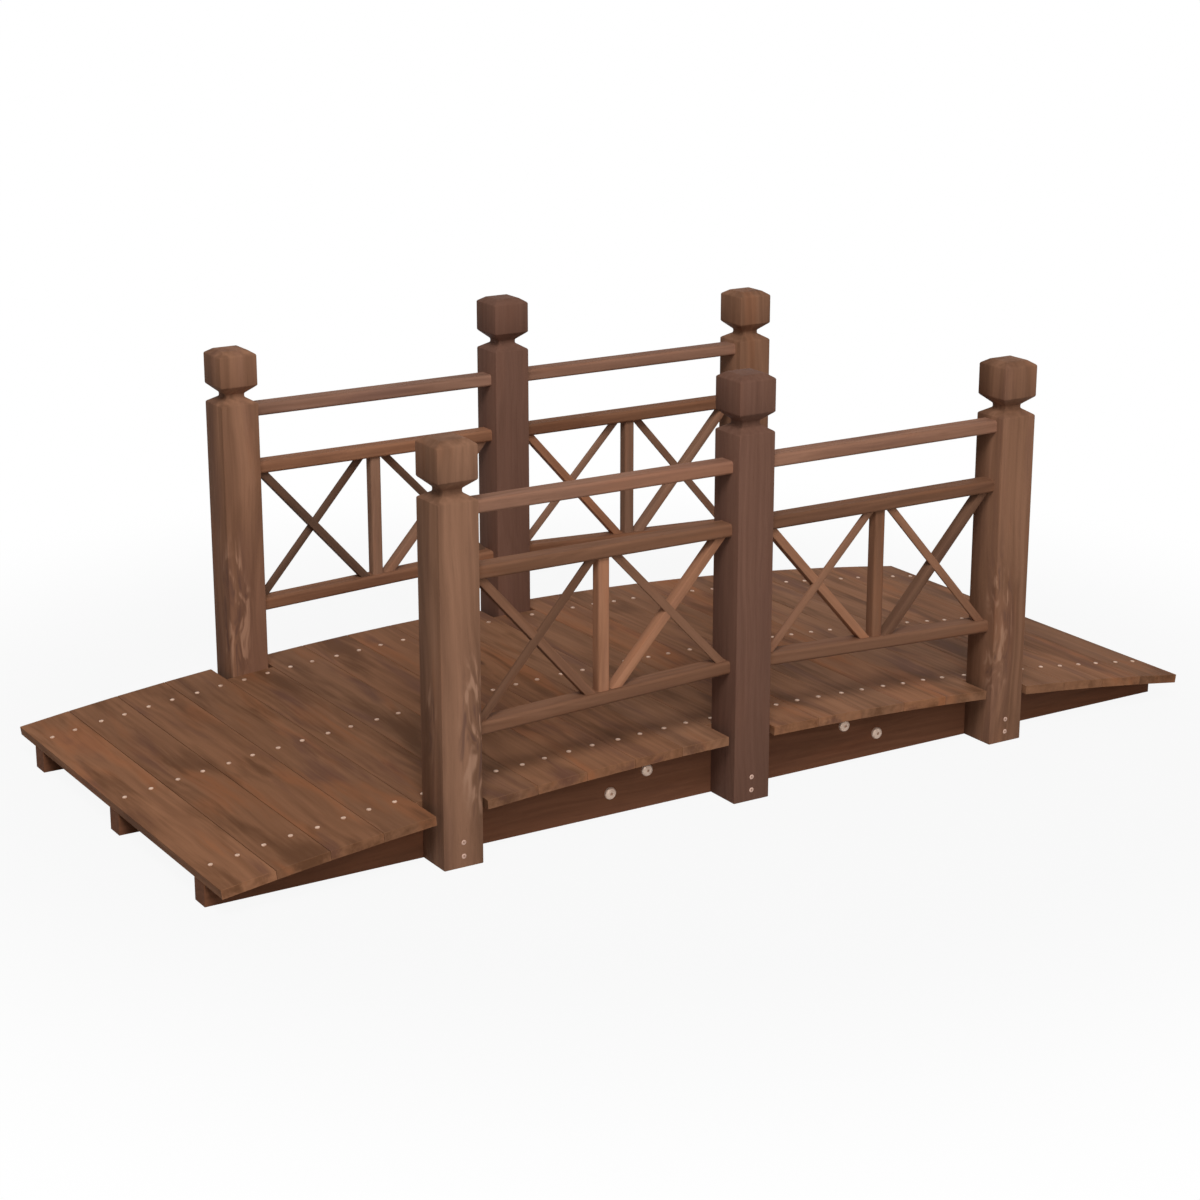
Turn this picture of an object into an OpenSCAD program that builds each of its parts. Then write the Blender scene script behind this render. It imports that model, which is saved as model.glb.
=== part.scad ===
// Low arched timber footbridge for a garden: three stringers with curved tops carry a boarded deck,
// and six posts with turned-in necks carry a railing with crossed slats along each side.
// X runs along the bridge, Y across it and Z up. The origin is on the ground under the crown.

/* [Bridge] */
// Length over the ends of the deck
bridge_len = 1500; // [1200:10:2400]
// Width over the outer faces of the posts
bridge_w = 670; // [560:5:1000]
// Rise of the stringers' curved top from its ends to the crown
deck_rise = 54; // [30:1:90]

/* [Stringers] */
// Thickness of a stringer
stringer_t = 28; // [18:1:45]
// Height of a stringer at its ends
stringer_end_h = 29; // [20:1:60]

/* [Deck] */
// Number of deck boards, an odd number so that one lies on the crown
board_count = 21; // [17:2:31]
// Thickness of a deck board
board_t = 12; // [9:0.5:25]
// Gap between neighbouring deck boards
board_gap = 0.5; // [0.3:0.1:8]
// Length of the deck boards that pass between the posts
board_len = 667; // [560:1:1000]
// Radius of a deck board's eased edges
board_edge_r = 0.6; // [0.3:0.1:3]

/* [Posts] */
// Side of the square posts
post_s = 55; // [45:1:64]
// Height of the four end posts
end_post_h = 536; // [480:1:800]
// Height of the two middle posts
middle_post_h = 566; // [500:1:850]
// Deck boards from a middle post to an end post
post_board = 6; // [4:1:7]
// Radius of a post's eased upright edges
post_edge_r = 3; // [1:0.5:6]

/* [Post heads] */
// Width across the neck below a post's head
neck_w = 27; // [18:1:40]
// Height of the sloped shoulder under the neck
shoulder_h = 8.5; // [4:0.5:16]
// Height of the straight neck
neck_h = 5; // [2:0.5:14]
// Height of the slope from the neck out to the head
flare_h = 12; // [6:0.5:20]
// Height of the straight sides of the head
head_h = 42.5; // [25:0.5:70]
// Height of the bevel round the top of the head
cap_h = 6.5; // [3:0.5:14]
// Width of that bevel seen from above
cap_inset = 10; // [4:0.5:16]

/* [Rails] */
// Height of a rail's section
rail_h = 17; // [12:0.5:30]
// Depth of a rail's section, across the bridge
rail_t = 28; // [22:0.5:40]
// Radius of a rail's rounded edges
rail_edge_r = 4; // [1:0.5:5.5]
// Height of the handrail's underside above the ground
handrail_z = 440; // [360:1:600]
// Height of the middle rail's underside above the ground
mid_rail_z = 358; // [280:1:420]
// Clear height between the deck and the bottom rail
bottom_rail_gap = 80; // [40:1:140]

/* [Lattice] */
// Width of the baluster in the middle of a bay, along the bridge
baluster_w = 16; // [10:0.5:30]
// Depth of the baluster, across the bridge
baluster_t = 17; // [17:0.5:22]
// Radius of the baluster's rounded edges
baluster_edge_r = 3; // [1:0.5:4.5]
// Width of a brace, which falls from beside a post to the baluster's foot
brace_w = 11.5; // [6:0.5:18]
// Depth of a brace, across the bridge
brace_t = 14.5; // [9:0.5:16]
// Distance along the rails from a brace's middle line to the corner beside it
brace_end = 11.5; // [9:0.5:20]
// Width of a slat, which crosses a brace from beside the post's foot to the baluster's top
slat_w = 11; // [6:0.5:18]
// Depth of a slat, let into the outer faces of the braces
slat_t = 4; // [2:0.5:8]
// Distance along the rails from a slat's middle line to the corner beside it
slat_end = 10; // [9:0.5:20]

/* [Hidden] */
SIDES = ["near", "far"];
PLACES = ["left", "middle", "right"];
BAYS = ["left", "right"];
STRINGERS = ["near", "middle", "far"];
BAY_PIECES = ["handrail", "mid_rail", "bottom_rail", "lattice"];

POST_COLOR = "#8a6752";
MIDDLE_POST_COLOR = "#6b4d42";
STRINGER_COLOR = "#5a382c";
BOARD_COLOR = "#7d5640";
RAIL_COLOR = "#80573f";
LATTICE_COLOR = "#8a5c44";

// The curve of the stringers' tops, on which the deck boards lie.
half_len = bridge_len / 2;
arc_r = (half_len * half_len + deck_rise * deck_rise) / (2 * deck_rise);
crown_z = stringer_end_h + deck_rise;
arc_z = crown_z - arc_r;
arc_fn = 720;
end_angle = asin(half_len / (arc_r + board_t));
stringer_half_len = arc_r * sin(end_angle);

// The boards share the arc between the two ends, with a gap between each two.
gap_angle = board_gap / arc_r * 180 / PI;
board_angle = (2 * end_angle + gap_angle) / board_count;
board_w = arc_r * board_angle * PI / 180 - board_gap;
middle_board = (board_count + 1) / 2;

// The posts stand against the outer faces of the outer stringers.
post_x = arc_r * sin(post_board * board_angle);
post_inner_y = bridge_w / 2 - post_s;
post_y = post_inner_y + post_s / 2;
stringer_y = post_inner_y - stringer_t / 2;

// A bay is the clear space between the facing sides of two posts.
bay_in = post_s / 2;
bay_out = post_x - post_s / 2;
bay_mid = (bay_in + bay_out) / 2;
bay_len = bay_out - bay_in;
eased_fn = 32;

// Height of the deck's upper surface at a distance x from the crown.
function deck_z(x) = arc_z + sqrt(pow(arc_r + board_t, 2) - x * x);

// The bottom rail runs straight from post to post, parallel to the deck below it.
bottom_in_z = deck_z(bay_in) + bottom_rail_gap;
bottom_out_z = deck_z(bay_out) + bottom_rail_gap;
bottom_tilt = atan((bottom_in_z - bottom_out_z) / bay_len);

// Height of the bottom rail's upper face at x, on either side of the crown.
function bottom_rail_top(x) =
    bottom_in_z - (abs(x) - bay_in) * tan(bottom_tilt) + rail_h / cos(bottom_tilt);

function side_sign(side) = side == "near" ? -1 : 1;
function place_sign(place) = place == "left" ? -1 : place == "right" ? 1 : 0;
function stringer_place(name) = name == "near" ? -1 : name == "far" ? 1 : 0;
function board_name(i) = str("deck_board_", i < 10 ? "0" : "", i);
function post_name(side, place) = str(side, "_", place, "_post");
function bay_piece_name(side, bay, piece) = str(side, "_", bay, "_", piece);
function is_post_board(i) = i == middle_board || abs(i - middle_board) == post_board;

// A rectangle with round corners, centred on the origin.
module rounded_rect(w, h, r) {
    square([w - 2 * r, h], center = true);
    square([w, h - 2 * r], center = true);
    for (sx = [-1, 1], sy = [-1, 1])
        translate([sx * (w / 2 - r), sy * (h / 2 - r)])
            circle(r = r, $fn = eased_fn);
}

// An outline drawn in X and Z, given a thickness t from y0 towards +Y.
module upright_plate(y0, t) {
    translate([0, y0 + t, 0])
        rotate([90, 0, 0])
            linear_extrude(height = t)
                children();
}

// One stringer: a flat underside, square ends and a top that is an arc of a circle.
module stringer(name) {
    color(STRINGER_COLOR)
        upright_plate(stringer_place(name) * stringer_y - stringer_t / 2, stringer_t)
            intersection() {
                translate([-stringer_half_len, 0])
                    square([2 * stringer_half_len, crown_z]);
                translate([0, arc_z])
                    circle(r = arc_r, $fn = arc_fn);
            }
}

// One deck board, tangent to the arc. A board at a pair of posts ends at their inner faces.
module deck_board(i) {
    len = is_post_board(i) ? 2 * post_inner_y : board_len;
    color(BOARD_COLOR)
        translate([0, 0, arc_z])
            rotate([0, (i - middle_board) * board_angle, 0])
                translate([0, 0, arc_r + board_t / 2])
                    rotate([90, 0, 0])
                        linear_extrude(height = len, center = true)
                            rounded_rect(board_w, board_t, board_edge_r);
}

// The outline of a post seen square on: shaft, sloped shoulder, neck, flare, head and bevelled cap.
module post_outline(h) {
    half = post_s / 2;
    neck = neck_w / 2;
    head_z = h - cap_h - head_h;
    neck_z = head_z - flare_h - neck_h;
    right = [
        [half, 0], [half, neck_z - shoulder_h], [neck, neck_z], [neck, neck_z + neck_h],
        [half, head_z], [half, h - cap_h], [half - cap_inset, h]
    ];
    left = [for (k = [len(right) - 1 : -1 : 0]) [-right[k][0], right[k][1]]];
    polygon(concat(right, left));
}

// One post: the outline cut from both directions out of a bar with eased edges.
module post(side, place) {
    h = place == "middle" ? middle_post_h : end_post_h;
    color(place == "middle" ? MIDDLE_POST_COLOR : POST_COLOR)
        translate([place_sign(place) * post_x, side_sign(side) * post_y, 0])
            intersection() {
                upright_plate(-post_s / 2, post_s) post_outline(h);
                rotate([0, 0, 90]) upright_plate(-post_s / 2, post_s) post_outline(h);
                linear_extrude(height = h) rounded_rect(post_s, post_s, post_edge_r);
            }
}

// A rail of the given length along X, centred on the origin.
module rail_bar(len) {
    rotate([90, 0, 90])
        linear_extrude(height = len, center = true)
            rounded_rect(rail_t, rail_h, rail_edge_r);
}

// A level rail that fills a bay from post to post, with its underside at z.
module level_rail(side, bay, z) {
    color(RAIL_COLOR)
        translate([place_sign(bay) * bay_mid, side_sign(side) * post_y, z + rail_h / 2])
            rail_bar(bay_len);
}

// The sloped bottom rail, cut upright where it meets the two posts.
module bottom_rail(side, bay) {
    centre_z = (bottom_in_z + bottom_out_z + rail_h / cos(bottom_tilt)) / 2;
    color(RAIL_COLOR)
        translate([place_sign(bay) * bay_mid, side_sign(side) * post_y, centre_z])
            intersection() {
                rotate([0, place_sign(bay) * bottom_tilt, 0]) rail_bar(bay_len + rail_h);
                cube([bay_len, 2 * rail_t, bay_len], center = true);
            }
}

// The clear space of a bay from post to post, between the bottom rail and the middle rail.
module lattice_space(x0, x1) {
    polygon([
        [x0, bottom_rail_top(x0)], [x1, bottom_rail_top(x1)], [x1, mid_rail_z], [x0, mid_rail_z]
    ]);
}

// A straight strip of width w from point a to point b, run on past both.
module strip(a, b, w) {
    run = b - a;
    translate(a)
        rotate(atan2(run[1], run[0]))
            translate([-w, -w / 2])
                square([norm(run) + 2 * w, w]);
}

// A diagonal bar of section w by t, from the middle rail at x_top down to the bottom rail at x_foot.
module diagonal(x_top, x_foot, y, w, t) {
    upright_plate(y - t / 2, t)
        strip([x_top, mid_rail_z], [x_foot, bottom_rail_top(x_foot)], w);
}

// The crossed pair between the face of a post and the face of the baluster: a deep brace, and a thin
// slat let in flush with the brace's outer face.
module crossed_pair(side, post_face, baluster_face) {
    way = sign(baluster_face - post_face);
    brace_y = side_sign(side) * post_y;
    slat_y = side_sign(side) * (post_y + (brace_t - slat_t) / 2);
    diagonal(post_face + way * brace_end, baluster_face - way * brace_end, brace_y, brace_w, brace_t);
    diagonal(baluster_face - way * slat_end, post_face + way * slat_end, slat_y, slat_w, slat_t);
}

// One lattice: a baluster in the middle of the bay with a crossed pair on both sides, cut off where
// they meet the rails and the posts.
module lattice(side, bay) {
    y = side_sign(side) * post_y;
    mid = place_sign(bay) * bay_mid;
    x0 = mid - bay_len / 2;
    x1 = mid + bay_len / 2;
    color(LATTICE_COLOR)
        intersection() {
            upright_plate(y - baluster_t, 2 * baluster_t) lattice_space(x0, x1);
            union() {
                translate([mid, y, 0])
                    linear_extrude(height = mid_rail_z + rail_h)
                        rounded_rect(baluster_w, baluster_t, baluster_edge_r);
                crossed_pair(side, x0, mid - baluster_w / 2);
                crossed_pair(side, x1, mid + baluster_w / 2);
            }
        }
}

// One of the four pieces that fill a bay between two posts.
module bay_piece(side, bay, piece) {
    if (piece == "handrail") level_rail(side, bay, handrail_z);
    if (piece == "mid_rail") level_rail(side, bay, mid_rail_z);
    if (piece == "bottom_rail") bottom_rail(side, bay);
    if (piece == "lattice") lattice(side, bay);
}

for (name = STRINGERS)
    stringer(name);
for (i = [1 : board_count])
    deck_board(i);
for (side = SIDES, place = PLACES)
    post(side, place);
for (side = SIDES, bay = BAYS, piece = BAY_PIECES)
    bay_piece(side, bay, piece);
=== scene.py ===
"""Dresses the low arched garden footbridge: stained timbers, pale steel fixings and a white studio.

X runs along the bridge, Y across it and Z up, in metres. The origin is on the ground under the crown.
"""
import logging
import math
import random
from dataclasses import dataclass, field, replace
from enum import Enum
from typing import Any, Mapping, Sequence, Union

import bpy
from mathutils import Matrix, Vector


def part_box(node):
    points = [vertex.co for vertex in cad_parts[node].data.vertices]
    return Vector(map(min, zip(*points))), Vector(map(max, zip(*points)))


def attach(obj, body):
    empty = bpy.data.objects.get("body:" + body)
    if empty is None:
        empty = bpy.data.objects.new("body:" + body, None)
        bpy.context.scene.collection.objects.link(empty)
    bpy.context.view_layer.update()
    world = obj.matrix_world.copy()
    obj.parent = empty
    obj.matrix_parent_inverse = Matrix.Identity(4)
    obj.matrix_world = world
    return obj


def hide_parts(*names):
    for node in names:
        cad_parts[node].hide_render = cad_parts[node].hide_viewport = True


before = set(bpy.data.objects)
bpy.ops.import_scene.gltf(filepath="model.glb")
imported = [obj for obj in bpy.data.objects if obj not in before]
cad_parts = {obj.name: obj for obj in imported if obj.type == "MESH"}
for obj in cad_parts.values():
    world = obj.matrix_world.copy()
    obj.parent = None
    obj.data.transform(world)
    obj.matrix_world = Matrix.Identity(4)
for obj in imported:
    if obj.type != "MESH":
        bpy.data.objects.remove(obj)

log = logging.getLogger("footbridge")

Rgb = tuple[float, float, float]
Triple = tuple[float, float, float]
Step = tuple[float, float]
Term = Union["Value", bpy.types.NodeSocket, float]

BODY = "root"
WHITE: Rgb = (1.0, 1.0, 1.0)
NOISE_MEAN = 0.5

# Each side of the bridge, with the way that its outer faces look along Y
SIDES = (("near", -1), ("far", 1))


def srgb(red: int, green: int, blue: int) -> Rgb:
    """Turn a screen colour of 0 to 255 a channel into a linear one.

    Args:
        red: Red channel.
        green: Green channel.
        blue: Blue channel.

    Returns:
        The three linear channels.
    """
    def linear(channel: int) -> float:
        """Undo the screen's curve for one channel."""
        share = channel / 255
        return share / 12.92 if share <= 0.04045 else ((share + 0.055) / 1.055) ** 2.4

    return linear(red), linear(green), linear(blue)


class Value:
    """A number in a shader tree that takes part in Python expressions."""

    def __init__(self, graph: "ShaderGraph", socket: bpy.types.NodeSocket) -> None:
        """Keep the socket and the tree that it belongs to."""
        self.graph = graph
        self.socket = socket

    def __add__(self, other: Term) -> "Value":
        """Add a term."""
        return self.graph.math("ADD", self, other)

    def __radd__(self, other: Term) -> "Value":
        """Add to a term."""
        return self.graph.math("ADD", other, self)

    def __sub__(self, other: Term) -> "Value":
        """Take a term away."""
        return self.graph.math("SUBTRACT", self, other)

    def __rsub__(self, other: Term) -> "Value":
        """Take this away from a term."""
        return self.graph.math("SUBTRACT", other, self)

    def __mul__(self, other: Term) -> "Value":
        """Multiply by a term."""
        return self.graph.math("MULTIPLY", self, other)

    def __rmul__(self, other: Term) -> "Value":
        """Multiply a term by this."""
        return self.graph.math("MULTIPLY", other, self)

    def __truediv__(self, other: Term) -> "Value":
        """Divide by a term."""
        return self.graph.math("DIVIDE", self, other)

    def __rtruediv__(self, other: Term) -> "Value":
        """Divide a term by this."""
        return self.graph.math("DIVIDE", other, self)


@dataclass(frozen=True)
class Pattern:
    """A noise, by its cells in each metre along the grain and across it, and how they break up."""

    cells: Triple
    detail: float = 2.0
    roughness: float = 0.5
    distortion: float = 0.0

    def sized(self, along: float, across: float) -> "Pattern":
        """Make the same noise with other cells."""
        return replace(self, cells=(along, across, across))


class ShaderGraph:
    """A shader tree that is filled node by node."""

    def __init__(self, tree: bpy.types.NodeTree) -> None:
        """Take over an emptied tree."""
        self.tree = tree
        tree.nodes.clear()

    @classmethod
    def of_material(cls, name: str) -> tuple["ShaderGraph", bpy.types.Material]:
        """Start a new material.

        Args:
            name: The material's name.

        Returns:
            Its tree and the material.
        """
        material = bpy.data.materials.new(name)
        material.use_nodes = True
        return cls(material.node_tree), material

    def node(self, kind: str, settings: Mapping[str, Any] | None = None,
             sockets: Mapping[Union[int, str], Any] | None = None) -> bpy.types.Node:
        """Add one node.

        Args:
            kind: The node's type without its ShaderNode prefix.
            settings: Its own settings, which are set first.
            sockets: Values or links of its inputs, by name or place.

        Returns:
            The new node.
        """
        made = self.tree.nodes.new("ShaderNode" + kind)
        for key, setting in (settings or {}).items():
            setattr(made, key, setting)
        for key, term in (sockets or {}).items():
            target = made.inputs[key]
            if isinstance(term, Value):
                term = term.socket
            if isinstance(term, bpy.types.NodeSocket):
                self.tree.links.new(term, target)
            elif target.type == "RGBA" and len(term) == 3:
                target.default_value = (*term, 1.0)
            else:
                target.default_value = term
        return made

    def math(self, operation: str, *terms: Term) -> Value:
        """Add a Math node and wrap its result."""
        made = self.node("Math", {"operation": operation}, dict(enumerate(terms)))
        return Value(self, made.outputs[0])

    def vector(self, operation: str, *terms: Any) -> bpy.types.NodeSocket:
        """Add a Vector Math node that gives a vector."""
        return self.node("VectorMath", {"operation": operation}, dict(enumerate(terms))).outputs[0]

    def measure(self, operation: str, *terms: Any) -> Value:
        """Add a Vector Math node that gives a number."""
        made = self.node("VectorMath", {"operation": operation}, dict(enumerate(terms)))
        return Value(self, made.outputs["Value"])

    def split(self, vector: bpy.types.NodeSocket) -> tuple[Value, Value, Value]:
        """Take a vector apart into its three numbers."""
        made = self.node("SeparateXYZ", None, {0: vector})
        return tuple(Value(self, output) for output in made.outputs)

    def ease(self, value: Term, low: float, high: float, to_low: float = 0.0,
             to_high: float = 1.0) -> Value:
        """Step smoothly from one level to another.

        Args:
            value: The number that drives the step.
            low: Where the first level ends, which may lie above the other end.
            high: Where the second level starts.
            to_low: The first level.
            to_high: The second level.

        Returns:
            The stepped number.
        """
        made = self.node("MapRange", {"interpolation_type": "SMOOTHSTEP"},
                         {0: value, 1: low, 2: high, 3: to_low, 4: to_high})
        return Value(self, made.outputs[0])

    def mix(self, share: Term, first: Any, second: Any) -> bpy.types.NodeSocket:
        """Blend two colours.

        Args:
            share: How much of the second colour shows.
            first: Colour at a share of 0.
            second: Colour at a share of 1.

        Returns:
            The colour socket of the blend.
        """
        made = self.node("Mix", {"data_type": "RGBA", "clamp_factor": True},
                         {0: share, 6: first, 7: second})
        return made.outputs[2]

    def noise(self, vector: bpy.types.NodeSocket, pattern: Pattern) -> bpy.types.Node:
        """Add a noise whose cells are stretched along the grain.

        Args:
            vector: Place in the timber.
            pattern: The noise's cells.

        Returns:
            The noise node.
        """
        return self.node("TexNoise", {"noise_dimensions": "3D"},
                         {"Vector": self.vector("MULTIPLY", vector, pattern.cells), "Scale": 1.0,
                          "Detail": pattern.detail, "Roughness": pattern.roughness,
                          "Distortion": pattern.distortion})

    def grey(self, vector: bpy.types.NodeSocket, pattern: Pattern) -> Value:
        """Add a noise of one number."""
        return Value(self, self.noise(vector, pattern).outputs[0])

    def three(self, vector: bpy.types.NodeSocket, pattern: Pattern) -> tuple[Value, Value, Value]:
        """Add a noise of three numbers that differ from each other."""
        return self.split(self.noise(vector, pattern).outputs["Color"])

    def surface(self, skin: bpy.types.Node, kind: str = "Material") -> None:
        """Lead a finished shader to the tree's output."""
        self.node("Output" + kind, None, {"Surface": skin.outputs[0]})


class Grain(Enum):
    """The way that a timber's grain runs, as the turn that brings X onto it."""

    ALONG = (0.0, 0.0, 0.0)
    ACROSS = (0.0, 0.0, math.pi / 2)
    UPRIGHT = (0.0, -math.pi / 2, 0.0)


class Tone(Enum):
    """How a timber took the stain, as its brightness and warmth against the plain ones."""

    PALE = (1.65, 0.05)
    WARM = (1.30, 0.0)
    LIGHT = (1.10, 0.0)
    PLAIN = (1.0, 0.0)
    DIM = (0.90, 0.0)
    # Greyer and paler tones, given to bars of the far railing
    DUSTY = (1.20, -0.09)
    DUSTY_PALE = (1.55, -0.09)
    DARK = (0.78, -0.02)
    DARKEST = (0.74, -0.11)


@dataclass(frozen=True)
class Cut:
    """Where a timber lay in the log that it was sawn from.

    The pith is the log's middle line, given as its distance from the timber's own, and lean is how
    far that line strays for each metre of length.
    """

    centre: Triple
    turn: Triple
    pith: tuple[float, float]
    lean: tuple[float, float]
    start: Triple

    @classmethod
    def drawn(cls, name: str, centre: Sequence[float], turn: Triple, reach: float) -> "Cut":
        """Draw a place in the log for a named piece, the same on every run.

        Args:
            name: The piece's name, which seeds the draw.
            centre: Middle of the piece.
            turn: Turn that brings X onto its grain.
            reach: Usual distance of the pith.

        Returns:
            The cut.
        """
        draw = random.Random(name)
        nearest, farthest, lean_most, start_most = 0.6, 1.5, 0.05, 40.0
        angle = draw.uniform(0.0, 2 * math.pi)
        far = reach * draw.uniform(nearest, farthest)
        return cls(tuple(centre), turn, (far * math.cos(angle), far * math.sin(angle)),
                   (draw.uniform(-lean_most, lean_most), draw.uniform(-lean_most, lean_most)),
                   tuple(draw.uniform(-start_most, start_most) for _ in range(3)))


@dataclass(frozen=True)
class Layer:
    """A mark in the stain: where it sets in and where it is full, its tint and its share."""

    step: Step
    tint: Triple
    share: float = 1.0


# Marks that the grain leaves, and the tints of the wood between them
STREAKS = Pattern((1.6, 62.0, 62.0), detail=2.5, roughness=0.55)
FLAMES = Pattern((4.5, 26.0, 26.0), detail=3.0, distortion=0.35)
EARLY_WOOD: Triple = (1.26, 1.27, 1.28)
LATE_WOOD: Triple = (0.68, 0.66, 0.65)
GLOW = Layer((0.52, 0.70), (1.30, 1.08, 0.92))
FLAME = Layer((0.48, 0.72), (0.56, 0.53, 0.50))
BRUISE = Layer((0.52, 0.74), (0.60, 0.58, 0.74), 0.8)
PALE_CURL = Layer((0.50, 0.66), (1.80, 1.98, 2.15), 0.8)
DARK_CURL = Layer((0.48, 0.34), (0.57, 0.58, 0.72), 0.75)
PORE = Layer((0.56, 0.80), (0.42, 0.40, 0.38), 0.22)
KNOT = Layer((0.12, 0.04), (0.30, 0.25, 0.23), 0.85)
# Lighter edges: partly wear, partly a painted highlight that also lifts the shade at the joints between
# boards
WEAR_AND_HIGHLIGHT = Layer((0.02, 0.28), (1.42, 1.40, 1.40))


@dataclass(frozen=True)
class Marks:
    """What the grain gives the stain at each point of a timber."""

    core: Value
    streak: Value
    broad: Value
    year: Value
    fibre: Value
    pore: Value
    blaze: Value
    bruise: Value
    cloud: Value
    ripple: Value | None
    curl: Value | None


@dataclass(frozen=True)
class Softwood:
    """The run of the grain in a timber, before the stain.

    The pith is the log's middle line, given as its usual distance from the timber. Reaches are how
    far the grain is bent, in metres. A burl is a swirl in the grain, given as its place in the timber.
    """

    pith: float
    streaks: Pattern = STREAKS
    flames: Pattern = FLAMES
    fibres: Pattern = Pattern((6.0, 240.0, 240.0), detail=3.0, roughness=0.60)
    pores: Pattern = Pattern((28.0, 900.0, 900.0))
    curls: Pattern = Pattern((15.0, 75.0, 75.0), distortion=1.2)
    sway: Pattern = Pattern((3.2, 6.0, 6.0))
    sway_reach: Triple = (0.0, 0.030, 0.030)
    swirl_reach: tuple[float, float] = (0.011, 0.008)
    ring: float = 0.011
    ring_fray: float = 1.1
    knot_cells: Triple = (4.6, 15.0, 15.0)
    knot_scatter: float = 0.9
    knot_share: float = 0.06
    knot_edge: float = 0.01
    knot_swirl: Step = (0.45, 0.02)
    burl: Triple | None = None
    burl_cells: Triple = (6.5, 28.0, 28.0)
    burl_swirl: Step = (1.0, 0.05)
    burl_ripple: Step = (0.05, 0.6)

    def swirl(self, graph: ShaderGraph, place: bpy.types.NodeSocket, still: bpy.types.NodeSocket
              ) -> tuple[Value, Value]:
        """Find how far the grain swirls round the knots and the burl.

        Args:
            graph: The material's tree.
            place: Place in the timber.
            still: Place in the log.

        Returns:
            The swirl, and the dark core of the knots.
        """
        cells = graph.vector("MULTIPLY", still, self.knot_cells)
        knots = graph.node("TexVoronoi", {"feature": "F1"},
                           {"Vector": cells, "Scale": 1.0, "Randomness": self.knot_scatter})
        chance, _, _ = graph.split(knots.outputs["Color"])
        chosen = graph.ease(chance, 1 - self.knot_share, 1 - self.knot_share + self.knot_edge)
        away = Value(graph, knots.outputs["Distance"])
        swirl = graph.ease(away, *self.knot_swirl) * chosen
        core = graph.ease(away, *KNOT.step) * chosen
        if self.burl:
            offset = graph.vector("SUBTRACT", place, self.burl)
            away = graph.measure("LENGTH", graph.vector("MULTIPLY", offset, self.burl_cells))
            swirl = swirl + graph.ease(away, *self.burl_swirl)
        return swirl, core

    def bend(self, graph: ShaderGraph, still: bpy.types.NodeSocket, swirl: Value
             ) -> bpy.types.NodeSocket:
        """Find how far the grain strays from a straight line.

        Args:
            graph: The material's tree.
            still: Place in the log.
            swirl: How far the grain swirls.

        Returns:
            The way from the straight line, as a vector.
        """
        sway = graph.noise(still, self.sway).outputs["Color"]
        sway = graph.vector("SUBTRACT", sway, (NOISE_MEAN, NOISE_MEAN, NOISE_MEAN))
        sway = graph.vector("MULTIPLY", sway, self.sway_reach)
        wide, deep = self.swirl_reach
        round_knots = graph.node("CombineXYZ", None, {1: swirl * wide, 2: swirl * deep}).outputs[0]
        return graph.vector("ADD", sway, round_knots)

    def marks(self, graph: ShaderGraph, cut: Cut) -> Marks:
        """Lay out the marks of the grain in one timber.

        Args:
            graph: The material's tree.
            cut: Where the timber lay in its log.

        Returns:
            The marks.
        """
        seen = graph.node("TexCoord").outputs["Object"]
        place = graph.node("Mapping", {"vector_type": "TEXTURE"},
                           {"Vector": seen, "Location": cut.centre, "Rotation": cut.turn}).outputs[0]
        still = graph.vector("ADD", place, cut.start)
        swirl, core = self.swirl(graph, place, still)
        bend = self.bend(graph, still, swirl)
        drift = graph.vector("ADD", still, bend)

        along, wide, deep = graph.split(graph.vector("ADD", place, bend))
        off_wide = wide + along * cut.lean[0] + cut.pith[0]
        off_deep = deep + along * cut.lean[1] + cut.pith[1]
        radius = graph.math("SQRT", off_wide * off_wide + off_deep * off_deep)
        streak, fray, broad = graph.three(drift, self.streaks)
        year = graph.math("SINE", (radius / self.ring + fray * self.ring_fray) * (2 * math.pi))
        blaze, bruise, cloud = graph.three(drift, self.flames)
        ripple = graph.ease(swirl, *self.burl_ripple) if self.burl else None
        curl = graph.grey(drift, self.curls) if self.burl else None
        return Marks(core, streak, broad, year, graph.grey(drift, self.fibres),
                     graph.grey(drift, self.pores), blaze, bruise, cloud, ripple, curl)


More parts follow.
